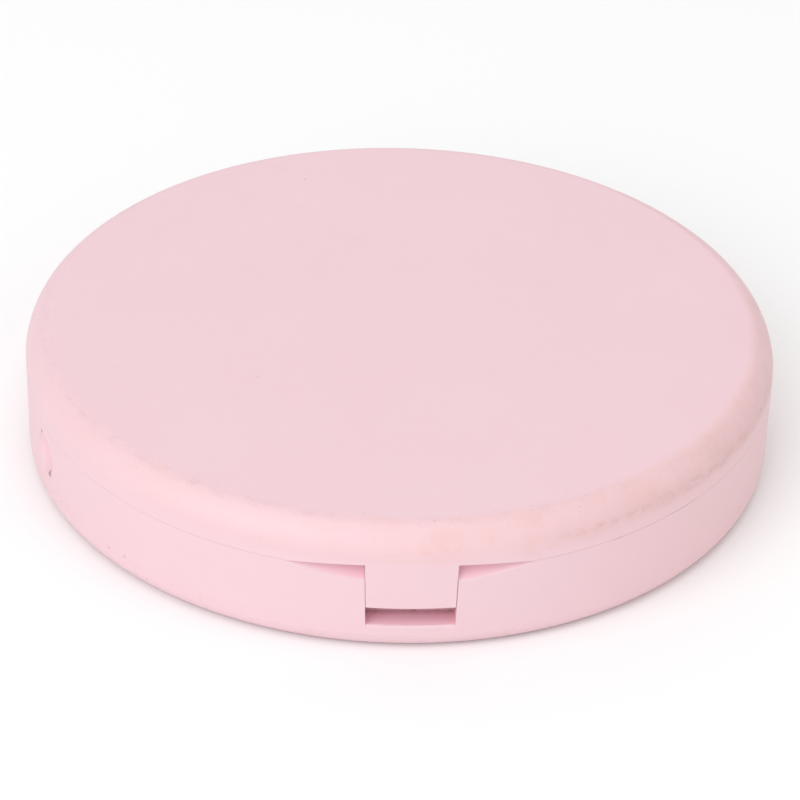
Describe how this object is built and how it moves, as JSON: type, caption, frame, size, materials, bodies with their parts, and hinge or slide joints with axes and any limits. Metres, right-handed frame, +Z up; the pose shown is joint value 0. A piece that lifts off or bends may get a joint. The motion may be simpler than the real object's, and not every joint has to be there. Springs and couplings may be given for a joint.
{
  "type": "pill splitter",
  "caption": "Round flat pill splitter compact: hinged lid with a blade and swinging guard, V-shaped pill seat, two storage wells and a front latch tab.",
  "frame": {"origin": "centre of the round underside, on the surface the compact rests on", "axes": "+Z up through the lid, -Y towards the latch tab, +Y towards the hinge, +X to the right seen from the latch tab"},
  "size_m": [0.08, 0.08, 0.0145],
  "materials": {
    "shell_pink": "satin moulded pink polypropylene",
    "insert_white": "satin moulded white plastic",
    "carrier_white": "satin moulded off-white plastic",
    "guard_plastic": "smooth moulded pink plastic",
    "seat_soft": "soft matte grey-white elastomer",
    "mat_soft": "soft matte pale grey elastomer",
    "cap_silicone": "milky silicone",
    "blade_steel": "ground stainless steel",
    "screw_steel": "bright zinc-plated steel",
    "pin_steel": "drawn stainless wire",
    "spring_steel": "drawn spring wire"
  },
  "bodies": {
    "base": {"base_shell": "shell_pink", "hinge_pin": "pin_steel", "deck": "insert_white", "deck_screws": "screw_steel", "cutting_mat": "mat_soft", "pill_seat": "seat_soft"},
    "lid": {"lid_shell": "shell_pink", "lid_liner": "insert_white", "left_well_cap": "cap_silicone", "right_well_cap": "cap_silicone", "blade_carrier": "carrier_white", "carrier_screws": "screw_steel", "blade": "blade_steel", "blade_clamp": "carrier_white", "clamp_screws": "screw_steel", "guard_pin": "pin_steel", "guard_spring": "spring_steel"},
    "guard": {"blade_guard": "guard_plastic"}
  },
  "joints": [
    {"name": "lid_hinge", "type": "hinge", "parent": "base", "child": "lid", "pos_m": [0, 0.0374, 0.0096], "axis": [-1, 0, 0], "range_deg": [0, 120]},
    {"name": "guard_swing", "type": "hinge", "parent": "lid", "child": "guard", "pos_m": [0, 0.0205, 0.0104], "axis": [1, 0, 0], "range_deg": [0, 18]}
  ],
  "couplings": [
    {"joint": "guard_swing", "follows": "lid_hinge", "ratio": 0.15}
  ]
}
